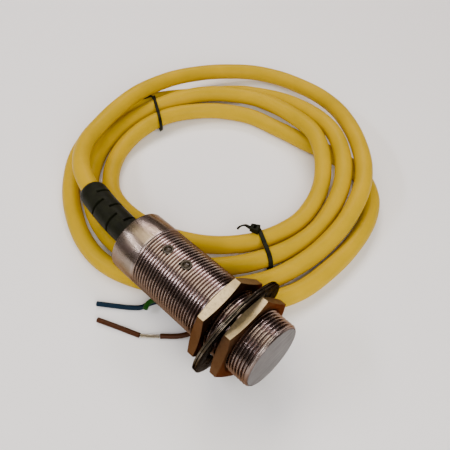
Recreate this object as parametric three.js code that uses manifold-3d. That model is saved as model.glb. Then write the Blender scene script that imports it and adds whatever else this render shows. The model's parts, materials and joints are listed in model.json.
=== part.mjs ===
// M30 cylindrical inductive proximity sensor. A nickel-plated brass barrel carries two thin lock nuts and
// two toothed washers, and it lies on the coil of its own cable.
// Millimetres, +Z up. The barrel runs along X with its sensing face towards +X, z = 0 is the table, and
// x = 0 is halfway between the sensing face and the tip of the strain relief.

import * as THREE from 'three';
import { mergeVertices } from 'three/addons/utils/BufferGeometryUtils.js';
import Module from 'manifold-3d';

const wasm = await Module();
wasm.setup();

// Driving dimensions of the housing
const THREAD_RADIUS = 14.95;
const BARREL_LENGTH = 81;
const BORE_RADIUS = 13.2;
const STRAIN_RELIEF_LENGTH = 40;
const STRAIN_RELIEF_RADIUS = 6.9;
const STRAIN_RELIEF_BEND = 200;
const FACE_RADIUS = 13.9;
const FACE_THICKNESS = 1.2;

// Nuts and washers, with distances measured back from the sensing face
const NUT_ACROSS_FLATS = 36;
const NUT_THICKNESS = 4.6;
const NUT_CHAMFER_START = 17.9;
const NUT_CHAMFER_ANGLE = THREE.MathUtils.degToRad(15);
const NUT_BORE_RADIUS = 15.25;
const FRONT_NUT_FACE = 10.2;
const REAR_NUT_FACE = 23.1;
const FRONT_NUT_TURN = THREE.MathUtils.degToRad(-36.9);
const REAR_NUT_TURN = THREE.MathUtils.degToRad(-41.1);
const WASHER_RADIUS = 24.1;
const WASHER_BORE_RADIUS = 15.8;
const WASHER_THICKNESS = 0.9;
const WASHER_TOOTH_COUNT = 14;
const WASHER_TOOTH_DEPTH = 2.6;
const WASHER_PAIR_GAP = 0.2;

// The washers are loose on the thread and stand on the table. Both lean forward at the top.
const WASHER_PAIR_DISTANCE = 19;
const WASHER_HEIGHT = 23.95;
const WASHER_LEAN = THREE.MathUtils.degToRad(9.5);

// Indicator windows on the top of the barrel
const WINDOW_DISTANCES = [47.8, 58.9];
const WINDOW_RADIUS = 1.9;

// Cable and leads
const CABLE_RADIUS = 4.6;
const CABLE_INSIDE_RELIEF = 28;
const LEAD_RADIUS = 1.2;
const STRANDS_RADIUS = 0.9;

const TOUCH_GAP = 0.3;
const ROUND = 48;
const FLOOR_CLEARANCE = 0.05;

// The strain relief bends sideways, towards +Y, from the barrel's rear end to its tip.
const RELIEF_TIP_RADIUS = CABLE_RADIUS + 0.75;
const RELIEF_ANGLE = STRAIN_RELIEF_LENGTH / STRAIN_RELIEF_BEND;
const RELIEF_REACH = (STRAIN_RELIEF_BEND + RELIEF_TIP_RADIUS) * Math.sin(RELIEF_ANGLE);

const AXIS_HEIGHT = 24.25;
const FACE_X = (BARREL_LENGTH + RELIEF_REACH) / 2;

const finishes = {
  nickel: new THREE.MeshStandardMaterial({ color: 0xb9a890, roughness: 0.25, metalness: 1 }),
  steel: new THREE.MeshStandardMaterial({ color: 0x8d8880, roughness: 0.35, metalness: 1 }),
  face: new THREE.MeshStandardMaterial({ color: 0x857f7c, roughness: 0.55, metalness: 0 }),
  black: new THREE.MeshStandardMaterial({ color: 0x15150f, roughness: 0.6, metalness: 0 }),
  ferrite: new THREE.MeshStandardMaterial({ color: 0x2c2c2e, roughness: 0.7, metalness: 0 }),
  copper: new THREE.MeshStandardMaterial({ color: 0xb46a3c, roughness: 0.35, metalness: 1 }),
  bobbin: new THREE.MeshStandardMaterial({ color: 0xe6e0cf, roughness: 0.5, metalness: 0 }),
  board: new THREE.MeshStandardMaterial({ color: 0x1f5a34, roughness: 0.5, metalness: 0 }),
  chip: new THREE.MeshStandardMaterial({ color: 0x1b1b1d, roughness: 0.5, metalness: 0 }),
  capacitor: new THREE.MeshStandardMaterial({ color: 0x8f2d22, roughness: 0.4, metalness: 0 }),
  resistor: new THREE.MeshStandardMaterial({ color: 0xc9b48c, roughness: 0.6, metalness: 0 }),
  lens: new THREE.MeshStandardMaterial({ color: 0x2a2018, roughness: 0.15, metalness: 0 }),
  resin: new THREE.MeshStandardMaterial({ color: 0x3b3a36, roughness: 0.5, metalness: 0 }),
  jacket: new THREE.MeshStandardMaterial({ color: 0xd9a821, roughness: 0.5, metalness: 0 }),
  brown: new THREE.MeshStandardMaterial({ color: 0x4a2413, roughness: 0.5, metalness: 0 }),
  blue: new THREE.MeshStandardMaterial({ color: 0x14324a, roughness: 0.5, metalness: 0 }),
  green: new THREE.MeshStandardMaterial({ color: 0x1f5c1c, roughness: 0.5, metalness: 0 }),
  tinned: new THREE.MeshStandardMaterial({ color: 0xa9a08c, roughness: 0.4, metalness: 1 }),
};

const sensor = new THREE.Group();

function add(name, geometry, finish, position = [0, 0, 0]) {
  const mesh = new THREE.Mesh(faceOutward(geometry), finishes[finish]);
  mesh.name = name;
  mesh.position.set(...position);
  sensor.add(mesh);
}

// Flips a closed geometry whose triangles wind inwards.
function faceOutward(geometry) {
  const whole = geometry.index ? geometry.toNonIndexed() : geometry;
  const points = whole.getAttribute('position');
  const [a, b, c] = [new THREE.Vector3(), new THREE.Vector3(), new THREE.Vector3()];
  let volume = 0;
  for (let i = 0; i < points.count; i += 3) {
    a.fromBufferAttribute(points, i);
    b.fromBufferAttribute(points, i + 1);
    c.fromBufferAttribute(points, i + 2);
    volume += a.dot(b.cross(c));
  }
  if (volume > 0) return geometry;
  for (let i = 0; i < points.count; i += 3) {
    b.fromBufferAttribute(points, i + 1);
    c.fromBufferAttribute(points, i + 2);
    points.setXYZ(i + 1, c.x, c.y, c.z);
    points.setXYZ(i + 2, b.x, b.y, b.z);
  }
  return whole;
}

// Turns a profile of [distance back from the face, radius] corners about the barrel's axis.
function turned(profile, segments = ROUND) {
  const closed = [...profile, profile[0]];
  const corners = closed.map(([distance, radius]) => new THREE.Vector2(radius, -distance));
  return new THREE.LatheGeometry(corners, segments).rotateZ(-Math.PI / 2);
}

function ring(from, to, innerRadius, outerRadius, segments = ROUND) {
  return turned([[from, innerRadius], [to, innerRadius], [to, outerRadius], [from, outerRadius]], segments);
}

function disc(from, to, radius, segments = ROUND) {
  return turned([[from, 0], [to, 0], [to, radius], [from, radius]], segments);
}

// A box given by its centre: distance back from the face, y and height above the axis.
function block(distance, y, height, size) {
  return new THREE.BoxGeometry(...size).translate(-distance, y, height);
}

function smooth(points) {
  const corners = points.map((point) => new THREE.Vector3(...point));
  return new THREE.CatmullRomCurve3(corners, false, 'centripetal');
}

// A tube of a many-sided section along a smooth curve through the given points.
function tube(points, radius, sides, steps) {
  const section = new THREE.Shape();
  for (let side = 0; side < sides; side += 1) {
    const angle = (side / sides) * 2 * Math.PI;
    const corner = [radius * Math.cos(angle), radius * Math.sin(angle)];
    if (side === 0) section.moveTo(...corner);
    else section.lineTo(...corner);
  }
  return new THREE.ExtrudeGeometry(section, { steps, extrudePath: smooth(points), bevelEnabled: false });
}

function toSolid(geometry) {
  const bare = faceOutward(geometry).clone();
  bare.deleteAttribute('normal');
  bare.deleteAttribute('uv');
  const merged = mergeVertices(bare, 1e-4);
  return new wasm.Manifold(new wasm.Mesh({
    numProp: 3,
    vertProperties: merged.getAttribute('position').array,
    triVerts: Uint32Array.from(merged.index.array),
  }));
}

function toGeometry(solid) {
  const mesh = solid.getMesh();
  const geometry = new THREE.BufferGeometry();
  geometry.setAttribute('position', new THREE.BufferAttribute(Float32Array.from(mesh.vertProperties), 3));
  geometry.setIndex(new THREE.BufferAttribute(Uint32Array.from(mesh.triVerts), 1));
  return geometry;
}

function cut(geometry, tools) {
  return toGeometry(tools.reduce((solid, tool) => solid.subtract(toSolid(tool)), toSolid(geometry)));
}

// Where a point goes when what lies behind the barrel bends: x is measured from the face.
function bent(x, y) {
  const beyond = -x - BARREL_LENGTH;
  if (beyond <= 0) return [x, y];
  const angle = beyond / STRAIN_RELIEF_BEND;
  const radius = STRAIN_RELIEF_BEND - y;
  return [-BARREL_LENGTH - radius * Math.sin(angle), STRAIN_RELIEF_BEND - radius * Math.cos(angle)];
}

function bendRear(geometry) {
  const points = geometry.getAttribute('position');
  for (let i = 0; i < points.count; i += 1) {
    points.setXY(i, ...bent(points.getX(i), points.getY(i)));
  }
  return geometry;
}

const onAxis = [FACE_X, 0, AXIS_HEIGHT];

// Upright holes through the top wall of a turned piece, one for each indicator window
function windowHoles(radius) {
  return WINDOW_DISTANCES.map((distance) => {
    const hole = new THREE.CylinderGeometry(radius, radius, 8, 24);
    return hole.rotateX(Math.PI / 2).translate(-distance, 0, THREAD_RADIUS);
  });
}

// Barrel: a brass tube, threaded from the face back to a plain collar. The thread's crests are its
// outside, and the nuts' bores clear them.
{
  const chamfer = 1.0;
  const lip = 14.1;
  const seat = FACE_THICKNESS + 0.6;
  const rearRounding = 0.5;
  const shell = turned([
    [0.1, lip],
    [chamfer * 1.5, THREAD_RADIUS],
    [BARREL_LENGTH - rearRounding, THREAD_RADIUS],
    [BARREL_LENGTH, THREAD_RADIUS - rearRounding],
    [BARREL_LENGTH, BORE_RADIUS],
    [seat, BORE_RADIUS],
    [seat, lip - 0.1],
    [0.25, lip - 0.1],
  ], 96);
  add('barrel', cut(shell, windowHoles(WINDOW_RADIUS + 0.25)), 'nickel', onAxis);
}

// Sensing end: cap, seal, pot core with its coil, shield and carrier
{
  const skirtRadius = BORE_RADIUS - TOUCH_GAP;
  const skirtInside = 12.1;
  const skirtEnd = 12.5;
  const groove = [4.2, 5.6];
  const grooveRadius = 12.4;
  add('face_cap', turned([
    [0, 0],
    [FACE_THICKNESS, 0],
    [FACE_THICKNESS, skirtInside],
    [skirtEnd, skirtInside],
    [skirtEnd, skirtRadius],
    [groove[1], skirtRadius],
    [groove[1], grooveRadius],
    [groove[0], grooveRadius],
    [groove[0], skirtRadius],
    [FACE_THICKNESS, skirtRadius],
    [FACE_THICKNESS, FACE_RADIUS],
    [0.25, FACE_RADIUS],
    [0, FACE_RADIUS - 0.25],
  ]), 'face', onAxis);
  const seal = ring(groove[0] + 0.2, groove[1] - 0.2, grooveRadius + 0.15, BORE_RADIUS - 0.1);
  add('face_seal', seal, 'black', onAxis);

  const coreFront = FACE_THICKNESS + TOUCH_GAP;
  const coreDepth = 8.5;
  const windingDepth = 5.4;
  add('ferrite_core', turned([
    [coreFront, 0],
    [coreFront + coreDepth, 0],
    [coreFront + coreDepth, 11.2],
    [coreFront, 11.2],
    [coreFront, 9.3],
    [coreFront + windingDepth, 9.3],
    [coreFront + windingDepth, 4.6],
    [coreFront, 4.6],
  ]), 'ferrite', onAxis);
  const bobbinFront = coreFront + 0.2;
  const bobbinBack = coreFront + windingDepth - TOUCH_GAP;
  add('coil_bobbin', turned([
    [bobbinFront, 4.9],
    [bobbinBack, 4.9],
    [bobbinBack, 9.0],
    [bobbinBack - 0.6, 9.0],
    [bobbinBack - 0.6, 5.6],
    [bobbinFront + 0.6, 5.6],
    [bobbinFront + 0.6, 9.0],
    [bobbinFront, 9.0],
  ]), 'bobbin', onAxis);
  add('coil_winding', ring(bobbinFront + 0.8, bobbinBack - 0.8, 5.8, 8.6), 'copper', onAxis);
  add('shield_ring', ring(coreFront, coreFront + coreDepth, 11.5, 11.8), 'copper', onAxis);
  add('core_carrier', disc(coreFront + coreDepth + TOUCH_GAP, skirtEnd + 1.5, 11.8), 'bobbin', onAxis);
}

// Electronics: a lined bore with one board along it, its parts, and the two indicators
{
  const boardFront = 14.8;
  const boardBack = 65;
  const boardLength = boardBack - boardFront;
  const boardMiddle = (boardFront + boardBack) / 2;
  const boardThickness = 1.6;
  const boardTop = boardThickness / 2;
  const sleeve = ring(boardFront, 69, 12.2, 12.9);
  add('insulating_sleeve', cut(sleeve, windowHoles(WINDOW_RADIUS + 0.4)), 'bobbin', onAxis);
  add('circuit_board', block(boardMiddle, 0, 0, [boardLength, 22, boardThickness]), 'board', onAxis);

  const above = [
    ['oscillator_chip', 22, 0, [8.6, 6, 1.8], 'chip'],
    ['filter_capacitor', 33, 3, [11, 9, 7], 'capacitor'],
    ['power_resistor', 33, -6.2, [9, 3.4, 3.4], 'resistor'],
  ];
  const below = [
    ['rectifier_bridge', 54, 0, [9, 8, 3], 'chip'],
    ['output_thyristor', 38, 0, [10, 9, 4.4], 'chip'],
    ['timing_capacitor', 24, 0, [7, 6, 5], 'capacitor'],
  ];
  for (const [name, distance, y, size, finish] of above) {
    add(name, block(distance, y, boardTop + TOUCH_GAP + size[2] / 2, size), finish, onAxis);
  }
  for (const [name, distance, y, size, finish] of below) {
    add(name, block(distance, y, -boardTop - TOUCH_GAP - size[2] / 2, size), finish, onAxis);
  }

  const lampTop = 8.5;
  const names = ['output', 'power'];
  WINDOW_DISTANCES.forEach((distance, index) => {
    const lamp = new THREE.CylinderGeometry(1.5, 1.5, lampTop - boardTop - TOUCH_GAP, 24);
    lamp.rotateX(Math.PI / 2).translate(-distance, 0, (lampTop + boardTop + TOUCH_GAP) / 2);
    add(`${names[index]}_lamp`, lamp, 'lens', onAxis);
    const windowBottom = lampTop + TOUCH_GAP;
    const windowTop = THREAD_RADIUS - 0.6;
    const lens = new THREE.CylinderGeometry(WINDOW_RADIUS, WINDOW_RADIUS, windowTop - windowBottom, 24);
    lens.rotateX(Math.PI / 2).translate(-distance, 0, (windowTop + windowBottom) / 2);
    add(`${names[index]}_window`, lens, 'lens', onAxis);
  });
}

// Cable end: resin plug, seal, end ring and the slotted strain relief
{
  const flangeRadius = 9;
  const flange = [76.4, 78.4];
  const reliefBore = RELIEF_TIP_RADIUS - 0.2;
  const tip = BARREL_LENGTH + STRAIN_RELIEF_LENGTH;
  add('resin_plug', ring(70, 76, 4.4, 12.8), 'resin', onAxis);
  add('rear_ring', turned([
    [flange[1] + TOUCH_GAP, STRAIN_RELIEF_RADIUS + TOUCH_GAP],
    [BARREL_LENGTH - 0.4, STRAIN_RELIEF_RADIUS + TOUCH_GAP],
    [BARREL_LENGTH - 0.4, BORE_RADIUS - TOUCH_GAP],
    [flange[0], BORE_RADIUS - TOUCH_GAP],
    [flange[0], flangeRadius + 0.9 + TOUCH_GAP],
    [flange[1] + TOUCH_GAP, flangeRadius + 0.9 + TOUCH_GAP],
  ]), 'black', onAxis);
  const seal = ring(flange[0] + 0.3, flange[1] - 0.2, flangeRadius + 0.2, flangeRadius + 1.0);
  add('rear_seal', seal, 'black', onAxis);

  const dome = 3;
  const boreEnd = tip - CABLE_INSIDE_RELIEF - TOUCH_GAP;
  const stations = [1, 2, 3, 4, 5, 6].map((index) => index / 7);
  const outside = stations.map((share) => [
    THREE.MathUtils.lerp(flange[1], tip - dome, share), STRAIN_RELIEF_RADIUS]);
  const inside = stations.map((share) => [THREE.MathUtils.lerp(tip, boreEnd, share), reliefBore]);
  const sleeve = turned([
    [flange[0], 4.4],
    [flange[0], flangeRadius],
    [flange[1], flangeRadius],
    [flange[1], STRAIN_RELIEF_RADIUS],
    ...outside,
    [tip - dome, STRAIN_RELIEF_RADIUS],
    [tip - dome * 0.5, STRAIN_RELIEF_RADIUS - dome * 0.13],
    [tip - dome * 0.13, STRAIN_RELIEF_RADIUS - dome * 0.4],
    [tip, RELIEF_TIP_RADIUS],
    [tip, reliefBore],
    ...inside,
    [boreEnd, reliefBore],
    [boreEnd, 4.4],
  ], 32);
  const slotWidth = 1.4;
  const slotDepth = 1;
  const slotSpacing = 5.7;
  const slots = [0, 1, 2, 3, 4, 5].map((index) => {
    const distance = BARREL_LENGTH + 2.5 + index * slotSpacing;
    const side = index % 2 === 0 ? -1 : 1;
    const outer = ring(distance, distance + slotWidth, STRAIN_RELIEF_RADIUS - slotDepth, 12, 32);
    const half = block(distance + slotWidth / 2, side * 9.9, 0, [slotWidth * 3, 16, 30]);
    half.rotateX(THREE.MathUtils.degToRad(side * 18));
    return toGeometry(toSolid(outer).intersect(toSolid(half)));
  });
  add('strain_relief', bendRear(cut(sleeve, slots)), 'black', onAxis);
}

// Insulated conductors from the cable's inner end to the board's rear edge
{
  const jacketStart = BARREL_LENGTH + STRAIN_RELIEF_LENGTH - CABLE_INSIDE_RELIEF;
  const boardEnd = 65 + TOUCH_GAP;
  const places = { brown: 90, blue: 210, green: 330 };
  for (const [colour, angle] of Object.entries(places)) {
    const turn = THREE.MathUtils.degToRad(angle);
    const y = 2 * Math.cos(turn);
    const z = 2 * Math.sin(turn);
    const route = [
      [-boardEnd, y * 2.4, 0],
      [-boardEnd - 2.5, y * 2.1, z * 0.4],
      [-70, y * 1.3, z],
      [-BARREL_LENGTH, y, z],
      [...bent(-jacketStart + TOUCH_GAP, y), z],
    ];
    add(`${colour}_board_wire`, tube(route, 1.0, 8, 8), colour, onAxis);
  }
}

// Nuts and washers
function nut(turn) {
  const cornerRadius = NUT_ACROSS_FLATS / Math.sqrt(3);
  const hexagon = new THREE.Shape();
  for (let corner = 0; corner < 6; corner += 1) {
    const angle = turn + (corner * Math.PI) / 3;
    const point = [cornerRadius * Math.sin(angle), cornerRadius * Math.cos(angle)];
    if (corner === 0) hexagon.moveTo(...point);
    else hexagon.lineTo(...point);
  }
  hexagon.holes.push(new THREE.Path().absarc(0, 0, NUT_BORE_RADIUS, 0, 2 * Math.PI));
  const chamferRadius = cornerRadius + 1;
  const chamferDepth = (chamferRadius - NUT_CHAMFER_START) * Math.tan(NUT_CHAMFER_ANGLE);
  const chamfers = turned([
    [0, 12],
    [0, NUT_CHAMFER_START],
    [chamferDepth, chamferRadius],
    [NUT_THICKNESS - chamferDepth, chamferRadius],
    [NUT_THICKNESS, NUT_CHAMFER_START],
    [NUT_THICKNESS, 12],
  ]);
  return toGeometry(toSolid(alongAxis(hexagon, NUT_THICKNESS)).intersect(toSolid(chamfers)));
}

function toothedWasher() {
  const outline = new THREE.Shape().absarc(0, 0, WASHER_RADIUS, 0, 2 * Math.PI);
  const bore = new THREE.Path();
  const toothAngle = (2 * Math.PI) / WASHER_TOOTH_COUNT;
  for (let tooth = 0; tooth < WASHER_TOOTH_COUNT; tooth += 1) {
    const corners = [[0, 0], [0.5, 0], [0.62, WASHER_TOOTH_DEPTH], [0.88, WASHER_TOOTH_DEPTH]];
    corners.forEach(([share, depth], index) => {
      const angle = (tooth + share) * toothAngle;
      const radius = WASHER_BORE_RADIUS + depth;
      const point = [radius * Math.cos(angle), radius * Math.sin(angle)];
      if (tooth === 0 && index === 0) bore.moveTo(...point);
      else bore.lineTo(...point);
    });
  }
  outline.holes.push(bore);
  return alongAxis(outline, WASHER_THICKNESS).rotateY(WASHER_LEAN);
}

// Where a washer's front goes: offset is measured forwards from the middle of the pair.
function washerPlace(offset) {
  return [
    FACE_X - WASHER_PAIR_DISTANCE + offset * Math.cos(WASHER_LEAN),
    0,
    WASHER_HEIGHT - offset * Math.sin(WASHER_LEAN),
  ];
}

// Extrudes a flat (y, z) outline back from x = 0.
function alongAxis(outline, thickness) {
  const shape = { depth: thickness, bevelEnabled: false, curveSegments: ROUND };
  const geometry = new THREE.ExtrudeGeometry(outline, shape);
  return geometry.applyMatrix4(new THREE.Matrix4().makeBasis(
    new THREE.Vector3(0, 1, 0),
    new THREE.Vector3(0, 0, 1),
    new THREE.Vector3(-1, 0, 0),
  ));
}

add('front_nut', nut(FRONT_NUT_TURN), 'nickel', [FACE_X - FRONT_NUT_FACE, 0, AXIS_HEIGHT]);
add('rear_nut', nut(REAR_NUT_TURN), 'nickel', [FACE_X - REAR_NUT_FACE, 0, AXIS_HEIGHT]);
add('front_washer', toothedWasher(), 'steel', washerPlace(WASHER_PAIR_GAP / 2 + WASHER_THICKNESS));
add('rear_washer', toothedWasher(), 'steel', washerPlace(-WASHER_PAIR_GAP / 2));

// Cable: out of the strain relief, four loose turns, and back towards the barrel. Each turn is given at
// twelve clock positions, 30 degrees apart and clockwise from -150 degrees, as [radius, height].
const COIL_CENTRE = [-37, 74];
const COIL_START = -150;
const ON_TABLE = CABLE_RADIUS + FLOOR_CLEARANCE;
const COIL_TURNS = [
  [
    [74.6, 17.7], [73.6, 16.8], [80.8, 11], [87.6, 6.5], [81.5, 9.5], [73.4, 15.3],
    [73.2, 15], [72.7, 9.6], [75.2, ON_TABLE], [79.7, ON_TABLE], [86.3, ON_TABLE], [84.6, ON_TABLE],
  ],
  [
    [84.3, ON_TABLE], [78.6, ON_TABLE], [67.4, ON_TABLE], [68, ON_TABLE], [62.9, 11.5], [62.6, 15.4],
    [62.9, 13], [63.2, 7], [64.4, 6.7], [67.2, ON_TABLE], [74.8, ON_TABLE], [74.6, ON_TABLE],
  ],
  [
    [72.6, ON_TABLE], [67.3, 6.7], [59.5, 11.2], [57.5, 10.4], [52.5, 13], [52, 15.4],
    [52.5, 9.5], [53, 6.5], [53.2, 6.7], [52.8, ON_TABLE], [56.8, ON_TABLE], [63, ON_TABLE],
  ],
  [
    [61.9, ON_TABLE], [56.4, 6.7], [51, 5.5], [47.4, ON_TABLE], [45.6, ON_TABLE],
  ],
];

function coilPoint(station, radius, height) {
  const angle = THREE.MathUtils.degToRad(COIL_START - station * 30);
  return [COIL_CENTRE[0] + radius * Math.cos(angle), COIL_CENTRE[1] + radius * Math.sin(angle), height];
}

function insideRelief(depth) {
  const [x, y] = bent(-BARREL_LENGTH - STRAIN_RELIEF_LENGTH + depth, 0);
  return [FACE_X + x, y, AXIS_HEIGHT];
}

const cableStart = [
  insideRelief(CABLE_INSIDE_RELIEF),
  insideRelief(CABLE_INSIDE_RELIEF / 2),
  insideRelief(0),
  [FACE_X - 137.9, 10.3, 23.9],
  [FACE_X - 152.2, 21.6, 21],
];
const cableEnd = [
  [-20, 121.6, ON_TABLE],
  [-5, 124, ON_TABLE],
  [10, 124.2, ON_TABLE],
  [22.6, 120.2, ON_TABLE],
  [32.2, 112.4, ON_TABLE],
  [38.6, 101.8, ON_TABLE],
  [42.4, 89.5, ON_TABLE],
  [44.4, 76, ON_TABLE],
  [44.8, 62.8, ON_TABLE],
  [44, 50.6, ON_TABLE],
  [42.2, 41.2, ON_TABLE],
  [39, 33.2, ON_TABLE],
  [34.3, 26.3, ON_TABLE],
];
const coilStations = COIL_TURNS.flat().map(
  ([radius, height], station) => coilPoint(station, radius, height));
const cableRoute = smooth([...cableStart, ...coilStations, ...cableEnd]).getSpacedPoints(240);
for (const point of cableRoute) {
  point.z = Math.max(point.z, ON_TABLE);
}
add('cable', tube(cableRoute, CABLE_RADIUS, 10, 120), 'jacket');

// The three leads at the cable's free end. The brown one is stripped in the middle, and its slug of
// insulation is left on the tip.
const ON_TABLE_LEAD = LEAD_RADIUS + FLOOR_CLEARANCE;
const leads = [
  ['brown_lead', 'brown', LEAD_RADIUS, [
    [35, 24.8, 6], [29.4, 16.6, 2.4], [25, 8, ON_TABLE_LEAD], [22.8, -2, ON_TABLE_LEAD],
    [19, -11, ON_TABLE_LEAD], [12.4, -17.9, ON_TABLE_LEAD]]],
  ['brown_lead_strands', 'tinned', STRANDS_RADIUS, [
    [12.1, -18.2, ON_TABLE_LEAD], [9, -21.2, ON_TABLE_LEAD], [5.9, -24, ON_TABLE_LEAD]]],
  ['brown_lead_slug', 'brown', LEAD_RADIUS, [
    [5.5, -24.2, ON_TABLE_LEAD], [-3.8, -28, ON_TABLE_LEAD], [-14.1, -32.4, ON_TABLE_LEAD]]],
  ['blue_lead', 'blue', LEAD_RADIUS, [
    [34, 25.5, 3.3], [27.3, 20, ON_TABLE_LEAD], [20.8, 14.2, ON_TABLE_LEAD], [15.1, 7.3, ON_TABLE_LEAD],
    [8.6, 1.1, ON_TABLE_LEAD], [2.5, -3.5, ON_TABLE_LEAD], [-2.2, -7.4, ON_TABLE_LEAD],
    [-3.9, -10.8, ON_TABLE_LEAD], [-5, -14.4, ON_TABLE_LEAD], [-8.4, -17.9, ON_TABLE_LEAD],
    [-14.2, -22.4, ON_TABLE_LEAD], [-21.1, -27.5, ON_TABLE_LEAD]]],
  ['green_lead', 'green', LEAD_RADIUS, [
    [32.8, 26.6, 6], [26.2, 21, 3.9], [21.3, 13.6, 3.9], [15.8, 6.5, 3.9], [9.2, 0.1, 3.9],
    [3, -4.5, 3.9], [-2, -8, 3.9], [-3, -11.4, 3.9], [-1.8, -14.4, 3.6]]],
];
for (const [name, finish, radius, points] of leads) {
  add(name, tube(points, radius, 8, 3 * points.length), finish);
}

// Ties: each is a band around neighbouring strands of two turns, standing across them at one station.
function tie(name, innerTurn, outerTurn, station) {
  const [innerRadius, strandHeight] = COIL_TURNS[innerTurn][station];
  const [outerRadius] = COIL_TURNS[outerTurn][station];
  const bandInside = CABLE_RADIUS + 0.4;
  const slack = 1.1;
  const bandThickness = 0.7;
  const bandWidth = 2.2;
  const outline = new THREE.Shape();
  const hollow = new THREE.Path();
  for (const [path, reach] of [[outline, bandInside + bandThickness], [hollow, bandInside]]) {
    path.absarc(outerRadius, strandHeight, reach, -Math.PI / 2, Math.PI / 2);
    path.absarc(innerRadius - slack, strandHeight, reach, Math.PI / 2, (3 * Math.PI) / 2);
    path.closePath();
  }
  outline.holes.push(hollow);
  const shape = { depth: bandWidth, bevelEnabled: false, curveSegments: 12 };
  const band = new THREE.ExtrudeGeometry(outline, shape);
  band.translate(0, 0, -bandWidth / 2).rotateX(Math.PI / 2);
  band.rotateZ(THREE.MathUtils.degToRad(COIL_START - station * 30));
  add(name, band, 'black', [...COIL_CENTRE, 0]);
}

tie('upper_tie', 3, 2, 1);
tie('lower_tie', 2, 1, 8);

export default sensor;
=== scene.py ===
"""Looks for an M30 inductive proximity sensor that lies on the coil of its own cable.

Metres, +Z up. The barrel runs along X with its sensing face towards +X, and z = 0 is the table.
"""

import json
import math

import bmesh
import bpy
import numpy as np
from mathutils import Matrix, Vector
from mathutils.kdtree import KDTree


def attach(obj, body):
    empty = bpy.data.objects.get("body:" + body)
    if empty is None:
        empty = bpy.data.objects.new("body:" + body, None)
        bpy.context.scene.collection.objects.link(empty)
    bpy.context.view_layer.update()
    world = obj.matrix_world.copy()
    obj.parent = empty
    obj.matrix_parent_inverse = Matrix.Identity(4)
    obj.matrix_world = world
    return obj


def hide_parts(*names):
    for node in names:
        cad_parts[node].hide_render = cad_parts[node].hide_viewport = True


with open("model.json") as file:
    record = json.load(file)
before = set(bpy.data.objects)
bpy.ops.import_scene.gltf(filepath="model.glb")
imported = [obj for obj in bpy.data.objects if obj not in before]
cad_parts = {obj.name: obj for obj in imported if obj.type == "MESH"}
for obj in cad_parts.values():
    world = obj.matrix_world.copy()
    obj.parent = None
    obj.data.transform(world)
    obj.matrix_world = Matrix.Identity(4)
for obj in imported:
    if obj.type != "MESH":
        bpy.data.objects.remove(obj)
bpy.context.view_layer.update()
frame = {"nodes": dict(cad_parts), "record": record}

MM = 0.001

# Sizes and places as in the CAD source, in millimetres and radians
THREAD_RADIUS = 14.95
THREAD_ROOT = 14.03
THREAD_PITCH = 1.5
THREAD_END = 68.0
BARREL_LENGTH = 81.0
BORE_RADIUS = 13.2
RELIEF_LENGTH = 40.0
RELIEF_RADIUS = 6.9
RELIEF_BEND = 200.0
RELIEF_SLOT_WIDTH = 1.4
RELIEF_SLOT_SPACING = 5.7
RELIEF_SLOT_COUNT = 6
RELIEF_FIRST_SLOT = 2.5
RELIEF_FLANGE_START = 76.4
RELIEF_FLANGE_END = 78.4
FACE_RADIUS = 13.9
NUT_ACROSS_FLATS = 36.0
NUT_THICKNESS = 4.6
NUT_CHAMFER_START = 17.9
NUT_CHAMFER_ANGLE = math.radians(15)
FRONT_NUT_FACE = 10.2
REAR_NUT_FACE = 23.1
FRONT_NUT_TURN = math.radians(-36.9)
REAR_NUT_TURN = math.radians(-41.1)
WASHER_RADIUS = 24.1
WASHER_BORE_RADIUS = 15.8
WASHER_THICKNESS = 0.9
WASHER_TOOTH_COUNT = 14
WASHER_TOOTH_DEPTH = 2.6
WASHER_PAIR_GAP = 0.2
WASHER_PAIR_DISTANCE = 19.0
WASHER_HEIGHT = 23.95
WASHER_LEAN = math.radians(9.5)
WINDOW_DISTANCES = (47.8, 58.9)
WINDOW_RADIUS = 1.9
CABLE_RADIUS = 4.6
CABLE_INSIDE_RELIEF = 28.0
LEAD_RADIUS = 1.2
FLOOR_CLEARANCE = 0.05
RELIEF_TIP_RADIUS = CABLE_RADIUS + 0.75
AXIS_HEIGHT = 24.25
RELIEF_REACH = (RELIEF_BEND + RELIEF_TIP_RADIUS) * math.sin(RELIEF_LENGTH / RELIEF_BEND)
FACE_X = (BARREL_LENGTH + RELIEF_REACH) / 2

# Finer details, in millimetres and radians
RELIEF_SLOT_DEPTH = 1.35
RELIEF_SLOT_SIDE = math.radians(72)
RELIEF_SLOT_HALF_ANGLE = math.radians(74)
RING_STEP = 78.7
RING_BACK = 80.6
RING_RADIUS = 12.9
WINDOW_TOP = 14.52
WINDOW_PLUG_BOTTOM = 8.85
CABLE_STEP = 2.5
CORE_LAY = 75.0

ROUTE_STEPS = 24
UPRIGHT_STEPS = 48
STRANDS_AROUND = 6

# ---- Camera and lights ----

CAMERA_PLACE = Vector((0.1159, -0.0819, 0.2256))
CAMERA_AIM = Vector((-0.4422, 0.4482, -0.7769))
CAMERA_LENS = 44.8
LIGHT_AIM = Vector((0, 0.03, 0.02))


def placed(name, data):
    """Puts a new object that shows this data into the scene."""
    thing = bpy.data.objects.new(name, data)
    bpy.context.scene.collection.objects.link(thing)
    return thing


def make_camera():
    """The camera looks down on the sensor from in front of its face, on the -Y side."""
    data = bpy.data.cameras.new("camera")
    data.lens = CAMERA_LENS
    data.sensor_width = 36
    data.clip_start = 0.01
    camera = placed("camera", data)
    camera.location = CAMERA_PLACE
    camera.rotation_euler = CAMERA_AIM.to_track_quat("-Z", "Y").to_euler()
    bpy.context.scene.camera = camera


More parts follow.
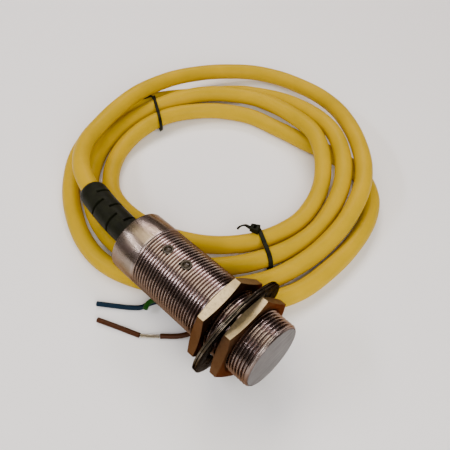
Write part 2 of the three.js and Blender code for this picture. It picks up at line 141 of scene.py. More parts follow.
def area_light(name, place, size, power, colour):
    """A rectangular soft box turned towards the sensor."""
    data = bpy.data.lights.new(name, "AREA")
    data.shape = "RECTANGLE"
    data.size, data.size_y = size
    data.energy = power
    data.color = colour
    light = placed(name, data)
    light.location = place
    light.rotation_euler = (LIGHT_AIM - Vector(place)).to_track_quat("-Z", "Y").to_euler()


make_camera()

# ---- Mesh helpers ----


def new_object(name, mesh, look, body, replaced, sharp_degrees=32):
    """Shows a finished mesh as a piece that rides on a CAD body and stands for CAD nodes."""
    mesh.name = name
    for polygon in mesh.polygons:
        polygon.use_smooth = True
    mesh.set_sharp_from_angle(angle=math.radians(sharp_degrees))
    mesh.materials.clear()
    mesh.materials.append(look)
    piece = placed(name, mesh)
    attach(piece, body)
    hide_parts(*replaced)
    return piece


def mesh_from(points, faces):
    """A mesh from points in millimetres, with its faces turned outwards."""
    mesh = bpy.data.meshes.new("piece")
    mesh.from_pydata([[value * MM for value in point] for point in points], [], faces)
    working = bmesh.new()
    working.from_mesh(mesh)
    bmesh.ops.recalc_face_normals(working, faces=working.faces)
    working.to_mesh(mesh)
    working.free()
    return mesh


def lathe(profile, segments=128):
    """Turns a closed loop of (distance back from the face, radius) corners about the barrel's axis."""
    points, faces, rings = [], [], []
    for distance, radius in profile:
        if radius == 0:
            rings.append([len(points)] * segments)
            points.append((FACE_X - distance, 0, AXIS_HEIGHT))
            continue
        rings.append(list(range(len(points), len(points) + segments)))
        for step in range(segments):
            angle = 2 * math.pi * step / segments
            y, z = radius * math.cos(angle), radius * math.sin(angle)
            points.append((FACE_X - distance, y, AXIS_HEIGHT + z))
    for index, ring in enumerate(rings):
        following = rings[(index + 1) % len(rings)]
        for step in range(segments):
            ahead = (step + 1) % segments
            corners = [ring[step], ring[ahead], following[ahead], following[step]]
            face = list(dict.fromkeys(corners))
            if len(face) > 2:
                faces.append(face)
    return mesh_from(points, faces)


def skin(rings, closed=False, apex=None):
    """A mesh over rings of equally many points.

    Its ends are capped, the first one by a fan if there is an apex, or joined to each other if closed.
    """
    count = len(rings[0])
    points = [point for ring in rings for point in ring]
    total = len(points)
    faces = []
    if apex:
        points.append(apex)
        faces += [[total, step, (step + 1) % count] for step in range(count)]
    elif not closed:
        faces.append(list(range(count)))
    if not closed:
        faces.append(list(range(total - count, total)))
    for here in range(0, total if closed else total - count, count):
        after = (here + count) % total
        for step in range(count):
            ahead = (step + 1) % count
            faces.append([here + step, here + ahead, after + ahead, after + step])
    return mesh_from(points, faces)


def prism(outline, start, end):
    """A solid between two distances behind the face, from a loop of (y, z) corners about the axis."""
    return skin([
        [(FACE_X - distance, y, AXIS_HEIGHT + z) for y, z in outline] for distance in (start, end)])


def upright_rings(distance, profile):
    """Level rings round an upright line through the axis, from (radius, height above the axis) pairs."""
    angles = [2 * math.pi * step / UPRIGHT_STEPS for step in range(UPRIGHT_STEPS)]
    return [
        [
            (FACE_X - distance + radius * math.cos(angle), radius * math.sin(angle), AXIS_HEIGHT + height)
            for angle in angles
        ]
        for radius, height in profile
    ]


def threaded_rod(start, end, crest, root):
    """A rod with a right-hand helical thread. Its grid follows the helix, so each flank is exact."""
    segments = 96
    flat = 0.02
    section = [
        (0.0, root), (0.25, root), (0.25 + flat, root + 0.05), (0.5625 - flat, crest - 0.05),
        (0.5625, crest), (0.6875, crest), (0.6875 + flat, crest - 0.05), (1.0 - flat, root + 0.05),
    ]
    first = math.floor((FACE_X - end) / THREAD_PITCH) - 1
    last = math.ceil((FACE_X - start) / THREAD_PITCH) + 1
    rows = [(turn + share, radius) for turn in range(first, last) for share, radius in section]
    per_turn = len(section)
    points, faces = [], []
    for phase, radius in rows:
        for step in range(segments):
            share = step / segments
            angle = 2 * math.pi * share
            x = (phase + share) * THREAD_PITCH
            points.append((x, radius * math.cos(angle), AXIS_HEIGHT + radius * math.sin(angle)))

    def corner(row, step):
        return (row + per_turn * (step // segments)) * segments + step % segments

    for row in range(len(rows) - per_turn - 1):
        for step in range(segments):
            faces.append([
                corner(row, step), corner(row, step + 1), corner(row + 1, step + 1), corner(row + 1, step)])

    def close_end(front_row):
        """Closes one end: the ring of the last turn and the step where the helix stops."""
        ring = [corner(front_row, step) for step in range(segments + 1)]
        back = [corner(front_row + extra, 0) for extra in range(per_turn, 0, -1)]
        loop = list(dict.fromkeys(ring + back))
        middle = len(points)
        points.append((sum(points[i][0] for i in loop) / len(loop), 0, AXIS_HEIGHT))
        for index, vertex in enumerate(loop):
            faces.append([vertex, loop[(index + 1) % len(loop)], middle])

    close_end(0)
    close_end(len(rows) - per_turn - 1)
    return mesh_from(points, faces)


def modified(thing):
    """The mesh that an object's modifiers make of its own. The object itself is deleted."""
    depsgraph = bpy.context.evaluated_depsgraph_get()
    result = bpy.data.meshes.new_from_object(thing.evaluated_get(depsgraph))
    bpy.data.objects.remove(thing)
    return result


def combine(base, *steps):
    """Applies boolean steps, each an (operation, mesh) pair, and returns the finished mesh."""
    target = placed("target", base)
    tools = []
    for operation, mesh in steps:
        tool = placed("tool", mesh)
        tools.append(tool)
        change = target.modifiers.new("cut", "BOOLEAN")
        change.operation = operation
        change.solver = "MANIFOLD"
        change.object = tool
    result = modified(target)
    for tool in tools:
        bpy.data.objects.remove(tool)
    return result


def softened(mesh, width, segments, angle):
    """The same mesh with a bevel, width millimetres wide, on edges sharper than angle degrees."""
    holder = placed("holder", mesh)
    bevel = holder.modifiers.new("bevel", "BEVEL")
    bevel.width = width * MM
    bevel.segments = segments
    bevel.limit_method = "ANGLE"
    bevel.angle_limit = math.radians(angle)
    return modified(holder)


# ---- Routes and tubes ----


def distances_along(line):
    """How far along the line each of its points lies."""
    steps = np.linalg.norm(np.diff(line, axis=0), axis=1)
    return np.concatenate([[0], np.cumsum(steps)])


def smooth_route(corners, spacing):
    """Evenly spaced points on a centripetal Catmull-Rom curve through the corners, in millimetres."""
    knots = [Vector(corner) for corner in corners]
    knots = [2 * knots[0] - knots[1], *knots, 2 * knots[-1] - knots[-2]]
    dense = []
    for index in range(1, len(knots) - 2):
        a, b, c, d = knots[index - 1:index + 3]
        t0 = 0.0
        t1 = t0 + math.sqrt((b - a).length)
        t2 = t1 + math.sqrt((c - b).length)
        t3 = t2 + math.sqrt((d - c).length)
        for share in np.linspace(0, 1, ROUTE_STEPS, endpoint=False):
            t = t1 + (t2 - t1) * share
            ab = a.lerp(b, (t - t0) / (t1 - t0))
            bc = b.lerp(c, (t - t1) / (t2 - t1))
            cd = c.lerp(d, (t - t2) / (t3 - t2))
            abc = ab.lerp(bc, (t - t0) / (t2 - t0))
            bcd = bc.lerp(cd, (t - t1) / (t3 - t1))
            dense.append(abc.lerp(bcd, (t - t1) / (t2 - t1)))
    dense.append(knots[-2])
    line = np.array(dense)
    along = distances_along(line)
    count = max(2, round(along[-1] / spacing))
    wanted = np.linspace(0, along[-1], count + 1)
    return np.stack([np.interp(wanted, along, line[:, axis]) for axis in range(3)], axis=1)


def carried_frames(line):
    """A direction and two side vectors at each point of a line, carried along without twist."""
    tangents = np.gradient(line, axis=0)
    tangents /= np.linalg.norm(tangents, axis=1)[:, None]
    side = np.cross(tangents[0], [0, 0, 1.0])
    side /= np.linalg.norm(side)
    frames = []
    for tangent in tangents:
        side = side - tangent * np.dot(side, tangent)
        side /= np.linalg.norm(side)
        frames.append((tangent, side.copy(), np.cross(tangent, side)))
    return frames


def swept(line, radius_at, sides, start_rings=(), end_rings=()):
    """A closed tube along a line, whose radius is radius_at(index, angle).

    The extra rings are (distance along, radius) pairs beyond an end, which round it off or hollow it.
    """
    frames = carried_frames(line)
    angles = [2 * math.pi * step / sides for step in range(sides)]
    rings = []

    def add_ring(centre, frame_here, radii):
        side, up = frame_here[1:]
        rings.append([
            tuple(centre + radius * (side * math.cos(angle) + up * math.sin(angle)))
            for angle, radius in zip(angles, radii)])

    for distance, radius in reversed(start_rings):
        add_ring(line[0] - frames[0][0] * distance, frames[0], [radius] * sides)
    for index, centre in enumerate(line):
        add_ring(centre, frames[index], [radius_at(index, angle) for angle in angles])
    for distance, radius in end_rings:
        add_ring(line[-1] + frames[-1][0] * distance, frames[-1], [radius] * sides)
    return skin(rings)


def add_along(mesh, line):
    """Gives a tube a map: U is the distance along its line in metres, V the share of a turn round it."""
    layer = mesh.uv_layers.new(name="along")
    metres = line * MM
    along = distances_along(metres)
    frames = carried_frames(metres)
    tree = KDTree(len(metres))
    for index, point in enumerate(metres):
        tree.insert(point, index)
    tree.balance()
    places = []
    for vertex in mesh.vertices:
        _, index, _ = tree.find(vertex.co)
        offset = np.array(vertex.co) - metres[index]
        tangent, side, up = frames[index]
        around = math.atan2(np.dot(offset, up), np.dot(offset, side)) / (2 * math.pi) % 1
        places.append((along[index] + np.dot(offset, tangent), around))
    for polygon in mesh.polygons:
        arounds = [places[mesh.loops[loop].vertex_index][1] for loop in polygon.loop_indices]
        wraps = max(arounds) - min(arounds) > 0.5
        for loop in polygon.loop_indices:
            u, v = places[mesh.loops[loop].vertex_index]
            if wraps and v < 0.5:
                v += 1
            layer.data[loop].uv = (u, v)


# ---- Materials ----


class Look:
    """Builds one procedural material around a Principled shader."""

    def __init__(self, name, colour, roughness, metallic=0.0, **sockets):
        self.material = bpy.data.materials.new(name)
        self.material.use_nodes = True
        self.tree = self.material.node_tree
        self.shader = self.tree.nodes["Principled BSDF"]
        self.set("Base Color", (*colour, 1))
        self.set("Roughness", roughness)
        self.set("Metallic", metallic)
        for socket, value in sockets.items():
            self.set(socket.replace("_", " ").title().replace("Ior", "IOR"), value)
        coordinates = self.node("ShaderNodeTexCoord")
        self.place = coordinates.outputs["Object"]
        self.normal = coordinates.outputs["Normal"]

    def set(self, socket, value):
        self.shader.inputs[socket].default_value = value

    def node(self, kind, **settings):
        made = self.tree.nodes.new(kind)
        for key, value in settings.items():
            setattr(made, key, value)
        return made

    def link(self, source, target):
        self.tree.links.new(source, target)

    def stretched(self, scale, source=None):
        """The piece's own coordinates, or the source's, scaled along each axis."""
        mapping = self.node("ShaderNodeMapping")
        mapping.inputs["Scale"].default_value = scale
        self.link(source or self.place, mapping.inputs["Vector"])
        return mapping.outputs["Vector"]

    def noise(self, scale, detail, roughness, source=None, distortion=0.0):
        made = self.node("ShaderNodeTexNoise")
        made.inputs["Scale"].default_value = scale
        made.inputs["Detail"].default_value = detail
        made.inputs["Roughness"].default_value = roughness
        made.inputs["Distortion"].default_value = distortion
        self.link(source or self.place, made.inputs["Vector"])
        return made.outputs["Fac"]

    def range(self, source, low, high, to_low=0.0, to_high=1.0):
        """Maps low to high onto to_low to to_high, and clamps what lies outside."""
        made = self.node("ShaderNodeMapRange")
        limits = {"From Min": low, "From Max": high, "To Min": to_low, "To Max": to_high}
        for socket, value in limits.items():
            made.inputs[socket].default_value = value
        self.link(source, made.inputs["Value"])
        return made.outputs["Result"]

    def maths(self, operation, first, second=0.0):
        made = self.node("ShaderNodeMath", operation=operation)
        for index, value in enumerate((first, second)):
            if isinstance(value, (int, float)):
                made.inputs[index].default_value = value
            else:
                self.link(value, made.inputs[index])
        return made.outputs["Value"]

    def mix(self, factor, first, second):
        made = self.node("ShaderNodeMix", data_type="RGBA")
        self.link(factor, made.inputs["Factor"])
        for socket, value in (("A", first), ("B", second)):
            target = next(s for s in made.inputs if s.name == socket and s.type == "RGBA")
            if isinstance(value, tuple):
                target.default_value = (*value, 1)
            else:
                self.link(value, target)
        return next(s for s in made.outputs if s.type == "RGBA")

    def colour(self, source):
        self.link(source, self.shader.inputs["Base Color"])

    def roughness(self, source):
        self.link(source, self.shader.inputs["Roughness"])

    def bump(self, height, strength, distance_mm, under=None):
        """Relief from a height. A coarser bump can lie under it."""
        made = self.node("ShaderNodeBump")
        made.inputs["Strength"].default_value = strength
        made.inputs["Distance"].default_value = distance_mm * MM
        self.link(height, made.inputs["Height"])
        if under:
            self.link(under, made.inputs["Normal"])
        self.link(made.outputs["Normal"], self.shader.inputs["Normal"])
        return made.outputs["Normal"]


def nickel_look(name, streaks, base=(0.44, 0.375, 0.34), film=(0.25, 0.175, 0.155), grooved=False,
                speckle_scale=1400, speckle_share=0.3, edge=(0.62, 0.50, 0.44),
                gloss=(0.21, 0.34), grain=0.12):
    """Semi-bright nickel plating with a warm handling film and fine turning or rolling streaks.

    Streaks are the stretch of the fine grain and gloss is the range of roughness. Speckle darkens small
    spots, edge is the tint at a grazing angle. Painted reflection and shade make it browner and darker
    towards the underside, and a grooved look has painted shade down in the thread.
    """
    look = Look(name, base, 0.24, 1.0, Specular_Tint=(*edge, 1))
    film_share = look.range(look.noise(110, 4, 0.55, distortion=0.3), 0.38, 0.70)
    tone = look.mix(film_share, base, film)
    speckle = look.range(look.noise(speckle_scale, 3, 0.7), 0.48, 0.68)
    tone = look.mix(look.maths("MULTIPLY", speckle, speckle_share), tone, tuple(0.42 * c for c in base))
    facing = look.node("ShaderNodeSeparateXYZ")
    look.link(look.normal, facing.inputs["Vector"])
    if grooved:
        # Painted reflection: the underside of the threaded barrel is tinted brown, as if it mirrored a
        # brown surrounding.
        under = look.range(facing.outputs["Z"], 0.6, 0.1, 0.0, 0.88)
        tone = look.mix(under, tone, (0.155, 0.092, 0.052))
        # Painted shade: the thread's roots, picked out by their distance from the axis, are darkened
        # towards near black.
        place = look.node("ShaderNodeSeparateXYZ")
        look.link(look.place, place.inputs["Vector"])
        height = look.maths("SUBTRACT", place.outputs["Z"], AXIS_HEIGHT * MM)
        squares = look.maths(
            "ADD", look.maths("MULTIPLY", height, height),
            look.maths("MULTIPLY", place.outputs["Y"], place.outputs["Y"]))
        radius = look.maths("SQRT", squares)
        painted_groove_shade = look.range(radius, (THREAD_RADIUS - 0.12) * MM, (THREAD_ROOT + 0.1) * MM)
        tone = look.mix(look.maths("MULTIPLY", painted_groove_shade, 0.78), tone, (0.075, 0.052, 0.05))
        collar_front = (FACE_X - THREAD_END) * MM
        collar = look.range(place.outputs["X"], collar_front, collar_front - MM, 0.0, 0.85)
        handled = look.range(look.noise(150, 4, 0.65, look.stretched((0.35, 1, 1))), 0.3, 0.62)
        tone = look.mix(look.maths("MULTIPLY", collar, handled), tone, (0.17, 0.135, 0.085))
    else:
        # Painted reflection and shade: faces turned downwards are tinted dark brown.
        under = look.range(facing.outputs["Z"], 0.8, 0.42, 0.0, 0.92)
        tone = look.mix(under, tone, (0.072, 0.026, 0.010))
    look.colour(tone)
    fine = look.noise(1500, 3, 0.55, look.stretched(streaks))
    look.roughness(look.range(look.maths("ADD", fine, film_share), 0.4, 1.6, *gloss))
    look.bump(fine, grain, 0.012)
    return look.material


def steel_look():
    """Dark oiled spring steel with browner patches."""
    base = (0.115, 0.098, 0.075)
    look = Look("washer_steel", base, 0.3, 1.0, Specular_Tint=(0.16, 0.13, 0.10, 1))
    patches = look.range(look.noise(220, 5, 0.6), 0.4, 0.7)
    look.colour(look.mix(patches, base, (0.06, 0.045, 0.028)))
    fine = look.noise(1100, 3, 0.6, look.stretched((1, 0.25, 1)))
    look.roughness(look.range(look.maths("ADD", fine, patches), 0.3, 1.6, 0.2, 0.4))
    look.bump(fine, 0.16, 0.02)
    return look.material


def relief_look():
    """Soft black moulding with an olive cast and faint mould bloom."""
    base = (0.0065, 0.0070, 0.0035)
    look = Look("relief_rubber", base, 0.5, Specular_IOR_Level=0.06)
    cloud = look.range(look.noise(260, 4, 0.6), 0.38, 0.74)
    look.colour(look.mix(cloud, base, (0.012, 0.0135, 0.006)))
    fine = look.noise(1700, 3, 0.6)
    look.roughness(look.range(fine, 0.3, 0.7, 0.42, 0.6))
    look.bump(fine, 0.22, 0.02)
    return look.material


def face_look():
    """Flush sensing face: a satin moulded disc with faint turning marks and handling scuffs."""
    base = (0.088, 0.080, 0.077)
    look = Look("sensing_face", base, 0.5, Specular_IOR_Level=0.22)
    cloud = look.range(look.noise(130, 4, 0.6), 0.35, 0.7)
    look.colour(look.mix(cloud, base, (0.12, 0.11, 0.106)))
    grain = look.noise(2600, 3, 0.6)
    scuffs = look.noise(500, 4, 0.6, look.stretched((1, 0.12, 1.4)))
    look.roughness(look.range(scuffs, 0.35, 0.7, 0.42, 0.62))
    look.bump(look.maths("ADD", grain, look.maths("MULTIPLY", scuffs, 0.6)), 0.2, 0.02)
    return look.material


def moulded_look(name, base, roughness=0.55, tone=1.35, grain=2200):
    """Moulded or extruded polymer: slightly cloudy colour with a fine grain."""
    look = Look(name, base, roughness, Specular_IOR_Level=0.1)
    lighter = tuple(min(1.0, channel * tone) for channel in base)
    cloud = look.range(look.noise(240, 4, 0.6), 0.35, 0.72)
    look.colour(look.mix(cloud, base, lighter))
    fine = look.noise(grain, 3, 0.6)
    look.roughness(look.range(fine, 0.3, 0.7, roughness - 0.08, roughness + 0.1))
    look.bump(fine, 0.25, 0.02)
    return look.material


def jacket_look():
    """Yellow extruded jacket: satin, with the conductors' lay and talc dust just showing."""
    base = (0.52, 0.328, 0.001)
    look = Look("cable_jacket", base, 0.42, Specular_IOR_Level=0.07)
    along = look.node("ShaderNodeUVMap", uv_map="along").outputs["UV"]
    cloud = look.range(look.noise(55, 4, 0.55), 0.35, 0.7)
    tone = look.mix(cloud, base, (0.44, 0.288, 0.001))
    dust = look.range(look.noise(420, 5, 0.65), 0.55, 0.8)
    look.colour(look.mix(look.maths("MULTIPLY", dust, 0.25), tone, (0.56, 0.385, 0.015)))
    drawn = look.noise(1.0, 4, 0.6, look.stretched((60, 26, 1), along))
    fine = look.noise(1700, 3, 0.6)
    look.roughness(look.range(look.maths("ADD", fine, drawn), 0.6, 1.4, 0.34, 0.52))
    under = look.bump(drawn, 0.25, 0.06)
    look.bump(fine, 0.18, 0.02, under)
    return look.material


def lens_look():
    """Unlit indicator window: dark smoked plastic, a little cloudy."""
    look = Look("indicator_lens", (0.035, 0.022, 0.014), 0.14, Specular_IOR_Level=0.2)
    cloud = look.noise(700, 3, 0.6)
    look.colour(look.mix(look.range(cloud, 0.35, 0.7), (0.022, 0.016, 0.010), (0.05, 0.036, 0.02)))
    look.roughness(look.range(cloud, 0.3, 0.7, 0.1, 0.22))
    return look.material


def slot_looks():
    """Materials by the record's slot, for the CAD nodes that stay and for the plainer shown pieces."""
    looks = {
        "nickel": nickel_look("bore_nickel", (1, 1, 1)),
        "face": moulded_look("cap_plastic", (0.24, 0.22, 0.21)),
        "black_rubber": moulded_look("black_rubber", (0.018, 0.018, 0.017), 0.6, 1.6),
        "black_plastic": moulded_look("black_plastic", (0.022, 0.022, 0.018), 0.5, 1.6),
        "ferrite": moulded_look("ferrite", (0.045, 0.045, 0.05), 0.7, 1.5, 3000),
        "bobbin": moulded_look("bobbin_plastic", (0.72, 0.68, 0.58), 0.5, 1.12),
        "board": moulded_look("board_laminate", (0.02, 0.11, 0.05), 0.35, 1.5, 1500),
        "chip": moulded_look("chip_moulding", (0.02, 0.02, 0.022), 0.5, 1.6),
        "capacitor": moulded_look("capacitor_dip", (0.30, 0.045, 0.03), 0.3, 1.2),
        "resistor": moulded_look("resistor_coating", (0.55, 0.43, 0.25), 0.55, 1.15),
        "resin": moulded_look("potting_resin", (0.05, 0.048, 0.045), 0.45, 1.5),
        "brown": moulded_look("brown_insulation", (0.040, 0.0125, 0.0035), 0.46, 1.35),
        "blue": moulded_look("blue_insulation", (0.0015, 0.011, 0.024), 0.46, 1.35),
        "green": moulded_look("green_insulation", (0.007, 0.052, 0.004), 0.46, 1.35),
    }
    copper = Look("winding_copper", (0.62, 0.27, 0.13), 0.3, 1.0)
    turns = copper.noise(2500, 2, 0.5, copper.stretched((4, 1, 1)))
    copper.colour(copper.mix(copper.range(turns, 0.35, 0.65), (0.62, 0.27, 0.13), (0.42, 0.16, 0.07)))
    copper.bump(turns, 0.4, 0.05)
    looks["copper"] = copper.material
    tinned = Look("tinned_copper", (0.55, 0.49, 0.42), 0.34, 1.0)
    grain = tinned.noise(1800, 3, 0.6)
    tinned.colour(tinned.mix(tinned.range(grain, 0.4, 0.7), (0.36, 0.33, 0.26), (0.24, 0.18, 0.11)))
    tinned.bump(grain, 0.25, 0.03)
    looks["tinned"] = tinned.material
    looks["lens"] = lens_look()
    return looks


LOOKS = slot_looks()
slot_of = {part["node"]: part["material_slot"] for part in frame["record"]["subparts"]}
for node_name, node in frame["nodes"].items():
    finish = LOOKS.get(slot_of[node_name])
    if finish:
        node.data.materials.clear()
        node.data.materials.append(finish)

# ---- Cable, with the CAD route repeated in millimetres ----

COIL_CENTRE = (-37.0, 74.0)
COIL_START = -150.0
STATION_TURN = 30.0
ON_TABLE = CABLE_RADIUS + FLOOR_CLEARANCE
COIL_TURNS = [
    [
        (74.6, 17.7), (73.6, 16.8), (80.8, 11), (87.6, 6.5), (81.5, 9.5), (73.4, 15.3),
        (73.2, 15), (72.7, 9.6), (75.2, ON_TABLE), (79.7, ON_TABLE), (86.3, ON_TABLE), (84.6, ON_TABLE),
    ],
    [
        (84.3, ON_TABLE), (78.6, ON_TABLE), (67.4, ON_TABLE), (68, ON_TABLE), (62.9, 11.5), (62.6, 15.4),
        (62.9, 13), (63.2, 7), (64.4, 6.7), (67.2, ON_TABLE), (74.8, ON_TABLE), (74.6, ON_TABLE),
    ],
    [
        (72.6, ON_TABLE), (67.3, 6.7), (59.5, 11.2), (57.5, 10.4), (52.5, 13), (52, 15.4),
        (52.5, 9.5), (53, 6.5), (53.2, 6.7), (52.8, ON_TABLE), (56.8, ON_TABLE), (63, ON_TABLE),
    ],
    [
        (61.9, ON_TABLE), (56.4, 6.7), (51, 5.5), (47.4, ON_TABLE), (45.6, ON_TABLE),
    ],
]
CABLE_END = [
    (-20, 121.6), (-5, 124), (10, 124.2), (22.6, 120.2), (32.2, 112.4), (38.6, 101.8), (42.4, 89.5),
    (44.4, 76), (44.8, 62.8), (44, 50.6), (42.2, 41.2), (39, 33.2), (34.3, 26.3),
]


def bent(x, y):
    """Where a point goes when what lies behind the barrel bends: x is measured from the face."""
    beyond = -x - BARREL_LENGTH
    if beyond <= 0:
        return x, y
    angle = beyond / RELIEF_BEND
    radius = RELIEF_BEND - y
    return -BARREL_LENGTH - radius * math.sin(angle), RELIEF_BEND - radius * math.cos(angle)


def inside_relief(depth):
    """A point on the bent centre line, depth millimetres inside the strain relief's tip."""
    x, y = bent(-BARREL_LENGTH - RELIEF_LENGTH + depth, 0)
    return FACE_X + x, y, AXIS_HEIGHT


def coil_point(station, radius, height):
    """A point of the coil: stations run clockwise round its centre, twelve to a turn."""
    angle = math.radians(COIL_START - station * STATION_TURN)
    return COIL_CENTRE[0] + radius * math.cos(angle), COIL_CENTRE[1] + radius * math.sin(angle), height


cable_corners = [
    inside_relief(CABLE_INSIDE_RELIEF),
    inside_relief(CABLE_INSIDE_RELIEF / 2),
    inside_relief(0),
    (FACE_X - 137.9, 10.3, 23.9),
    (FACE_X - 152.2, 21.6, 21),
]
stations = [place for turn in COIL_TURNS for place in turn]
cable_corners += [coil_point(station, *place) for station, place in enumerate(stations)]
cable_corners += [(x, y, ON_TABLE) for x, y in CABLE_END]
cable_line = smooth_route(cable_corners, CABLE_STEP)
cable_line[:, 2] = np.maximum(cable_line[:, 2], ON_TABLE)


def jacket_radius(index, angle):
    """The three conductors just swell the jacket along their lay."""
    twist = 2 * math.pi * index * CABLE_STEP / CORE_LAY
    return CABLE_RADIUS - 0.05 + 0.04 * math.cos(3 * (angle - twist))


jacket_mesh = swept(
    cable_line, jacket_radius, sides=36,
    start_rings=[(0.0, 4.2)],
    end_rings=[(0.12, CABLE_RADIUS - 0.18), (0.14, 3.6), (0.0, 3.45), (-4.0, 3.4)],
)
add_along(jacket_mesh, cable_line)
jacket = new_object("cable_jacket", jacket_mesh, jacket_look(), "sensor", ["cable"])

# ---- Leads at the cable's free end ----

LEAD_HEIGHT = LEAD_RADIUS + FLOOR_CLEARANCE
BROWN_LEAD = [
    (35, 24.8, 6), (29.4, 16.6, 2.4), (25, 8, LEAD_HEIGHT), (22.8, -2, LEAD_HEIGHT),
    (19, -11, LEAD_HEIGHT), (12.4, -17.9, LEAD_HEIGHT),
]
BROWN_STRANDS = [(12.1, -18.2, LEAD_HEIGHT), (9, -21.2, LEAD_HEIGHT), (5.9, -24, LEAD_HEIGHT)]
BROWN_SLUG = [(5.5, -24.2, LEAD_HEIGHT), (-3.8, -28, LEAD_HEIGHT), (-14.1, -32.4, LEAD_HEIGHT)]
BLUE_LEAD = [
    (34, 25.5, 3.3), (27.3, 20, LEAD_HEIGHT), (20.8, 14.2, LEAD_HEIGHT), (15.1, 7.3, LEAD_HEIGHT),
    (8.6, 1.1, LEAD_HEIGHT), (2.5, -3.5, LEAD_HEIGHT), (-2.2, -7.4, LEAD_HEIGHT),
    (-3.9, -10.8, LEAD_HEIGHT), (-5, -14.4, LEAD_HEIGHT), (-8.4, -17.9, LEAD_HEIGHT),
    (-14.2, -22.4, LEAD_HEIGHT), (-21.1, -27.5, LEAD_HEIGHT),
]
GREEN_LEAD = [
    (32.8, 26.6, 6), (26.2, 21, 3.9), (21.3, 13.6, 3.9), (15.8, 6.5, 3.9), (9.2, 0.1, 3.9),
    (3, -4.5, 3.9), (-2, -8, 3.9), (-3, -11.4, 3.9), (-1.8, -14.4, 3.6),
]
HOLLOW = [(0.06, LEAD_RADIUS - 0.12), (0.06, 0.72), (-0.9, 0.7)]


def lead(name, corners, colour, node):
    """A piece of one conductor's insulation, hollow at both ends, and its centre line."""
    line = smooth_route(corners, spacing=1.0)
    mesh = swept(
        line, lambda index, angle: LEAD_RADIUS, sides=20, start_rings=HOLLOW, end_rings=HOLLOW)
    return new_object(name, mesh, LOOKS[colour], "sensor", [node]), line


brown, brown_line = lead("brown_insulation", BROWN_LEAD, "brown", "brown_lead")
slug, _ = lead("brown_slug", BROWN_SLUG, "brown", "brown_lead_slug")
blue, blue_line = lead("blue_insulation", BLUE_LEAD, "blue", "blue_lead")
green, green_line = lead("green_insulation", GREEN_LEAD, "green", "green_lead")

# ---- Barrel and sensing face ----


def barrel_mesh():
    """Threaded barrel with a plain land in front, a plain collar behind and two holes for the windows."""
    land_radius = 14.55
    mouth_radius = 14.12
    seat_radius = 14.0
    clear_radius = THREAD_RADIUS + 0.25
    envelope = lathe([
        (0.1, 0), (0.1, mouth_radius), (1.4, clear_radius),
        (THREAD_END + 2, clear_radius), (THREAD_END + 2, 0),
    ])
    land = lathe([
        (0.1, 0), (0.1, mouth_radius), (0.55, land_radius), (1.75, land_radius),
        (2.2, seat_radius), (2.2, 0),
    ], segments=144)
    collar = lathe([
        (THREAD_END - 2.1, 0), (THREAD_END - 2.1, 13.9), (THREAD_END - 0.2, 14.9),
        (THREAD_END, THREAD_RADIUS), (BARREL_LENGTH - 0.55, THREAD_RADIUS),
        (BARREL_LENGTH - 0.2, THREAD_RADIUS - 0.12), (BARREL_LENGTH - 0.04, THREAD_RADIUS - 0.32),
        (BARREL_LENGTH, THREAD_RADIUS - 0.6), (BARREL_LENGTH, 0),
    ], segments=144)
    inside = lathe([
        (-1, 0), (-1, seat_radius), (1.8, seat_radius), (1.8, BORE_RADIUS),
        (BARREL_LENGTH + 1, BORE_RADIUS), (BARREL_LENGTH + 1, 0),
    ])
    holes = []
    for distance in WINDOW_DISTANCES:
        spot_face = [(WINDOW_RADIUS + 0.6, 14.42), (WINDOW_RADIUS + 0.7, 16)]
        hole = [(WINDOW_RADIUS + 0.2, 11), (WINDOW_RADIUS + 0.2, 15)]
        for profile in (spot_face, hole):
            holes.append(("DIFFERENCE", skin(upright_rings(distance, profile))))
    rod = threaded_rod(0, THREAD_END + 1, THREAD_RADIUS, THREAD_ROOT)
    return combine(
        rod, ("INTERSECT", envelope), ("UNION", land), ("UNION", collar), ("DIFFERENCE", inside), *holes)


new_object(
    "barrel_shell", barrel_mesh(), nickel_look("barrel_nickel", (0.02, 1, 1), grooved=True),
    "sensor", ["barrel"])

CAP_DEPTH = 12.5
CAP_RADIUS = 12.9
CAP_BORE_RADIUS = 12.1
face_mesh = lathe([
    (0.0, 0), (0.0, FACE_RADIUS - 0.3), (0.03, FACE_RADIUS - 0.14), (0.12, FACE_RADIUS - 0.03),
    (0.3, FACE_RADIUS), (1.2, FACE_RADIUS), (1.2, CAP_RADIUS), (CAP_DEPTH, CAP_RADIUS),
    (CAP_DEPTH, CAP_BORE_RADIUS), (1.2, CAP_BORE_RADIUS), (1.2, 0),
], segments=144)
new_object("sensing_face", face_mesh, face_look(), "sensor", ["face_cap"])


def window_mesh(distance):
    """An indicator window: a low dome inside a round rim, on a plug that reaches down to the lamp."""
    profile = [
        (0.9, 14.46), (1.25, 14.34), (1.45, 14.16), (1.55, 14.02), (1.62, 14.08), (1.64, 14.72),
        (1.74, 14.86), (2.26, 14.88), (2.4, 14.78), (2.43, 14.5), (2.38, 14.45),
        (WINDOW_RADIUS, 14.45), (WINDOW_RADIUS, WINDOW_PLUG_BOTTOM),
    ]
    return skin(upright_rings(distance, profile), apex=(FACE_X - distance, 0, AXIS_HEIGHT + WINDOW_TOP))


for name, distance in zip(("output", "power"), WINDOW_DISTANCES):
    new_object(f"{name}_lens", window_mesh(distance), LOOKS["lens"], "sensor", [f"{name}_window"])

# ---- Nuts and washers ----


